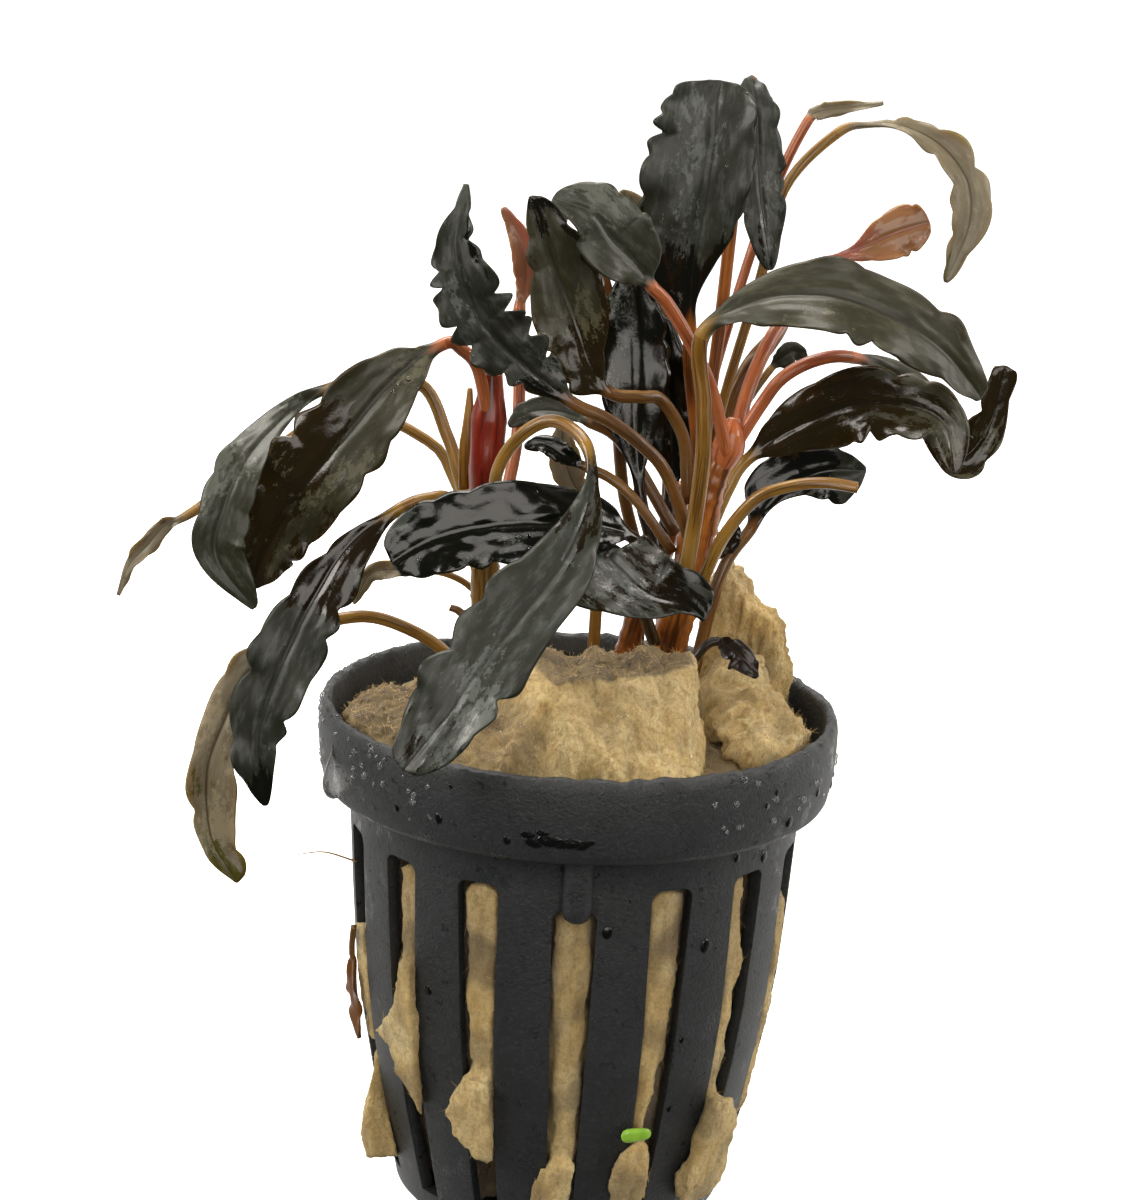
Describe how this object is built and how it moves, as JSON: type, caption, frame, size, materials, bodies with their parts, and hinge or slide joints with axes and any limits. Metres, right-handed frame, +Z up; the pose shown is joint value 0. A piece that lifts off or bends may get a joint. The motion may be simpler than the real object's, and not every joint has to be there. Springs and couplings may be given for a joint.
{
  "type": "potted water plant",
  "caption": "Water plant with long dark wavy leaves on red and ochre stalks, rooted in wet rock wool in a slotted black net pot.",
  "frame": {"origin": "middle of the pot's flat base", "axes": "+Z up along the pot axis, -Y towards the side seen in the picture, +X to the right of that side"},
  "size_m": [0.0876, 0.0521, 0.1093],
  "materials": {
    "pot": "satin charcoal black, wet, finely specked",
    "wool": "wet fibrous mineral wool, khaki tan",
    "leaf_dark": "glossy near-black green, wet",
    "leaf_grey": "satin grey green, wet",
    "leaf_olive": "glossy olive brown, wet",
    "leaf_pale": "thin translucent taupe and olive",
    "leaf_pink": "thin translucent pink brown",
    "sheath_red": "satin wet red",
    "stalk_ochre": "satin ochre to orange brown",
    "dead_brown": "dull wet brown",
    "duckweed_green": "satin bright green"
  },
  "bodies": {
    "root": {"bract_left": "stalk_ochre", "dead_leaf_slot": "dead_brown", "dead_scrap": "dead_brown", "duckweed": "duckweed_green", "leaf_arching": "leaf_pale", "leaf_back_narrow": "leaf_pale", "leaf_centre_black": "leaf_dark", "leaf_centre_brown": "dead_brown", "leaf_centre_edge": "leaf_grey", "leaf_centre_pale": "leaf_pale", "leaf_centre_side": "leaf_dark", "leaf_centre_small": "leaf_dark", "leaf_front_dark": "leaf_dark", "leaf_front_droop": "leaf_dark", "leaf_front_short": "leaf_dark", "leaf_left_broad": "leaf_olive", "leaf_left_grey": "leaf_grey", "leaf_left_hang": "leaf_dark", "leaf_left_low": "leaf_pale", "leaf_left_thin": "leaf_pale", "leaf_right_black": "leaf_dark", "leaf_right_curl": "leaf_olive", "leaf_right_folded": "leaf_olive", "leaf_right_grey": "leaf_grey", "leaf_right_small": "leaf_dark", "leaf_small_grey": "leaf_grey", "leaf_top_broad": "leaf_dark", "leaf_top_side": "leaf_dark", "leaf_top_small": "leaf_pale", "leaf_upper_grey": "leaf_grey", "leaf_upper_pale": "leaf_pale", "leaf_upper_red": "leaf_pink", "leaf_upper_ruffled": "leaf_dark", "leaf_upper_upright": "leaf_olive", "leaf_young_pink": "leaf_pink", "pot": "pot", "sheath_left": "sheath_red", "sheath_right": "sheath_red", "stem_back": "stalk_ochre", "stem_left": "stalk_ochre", "stem_main": "stalk_ochre", "stub_curled": "dead_brown", "stub_cut": "stalk_ochre", "stub_hook": "dead_brown", "wool_centre": "wool", "wool_flap": "wool", "wool_left": "wool", "wool_plug": "wool", "wool_right": "wool", "wool_tail": "wool"}
  },
  "joints": []
}
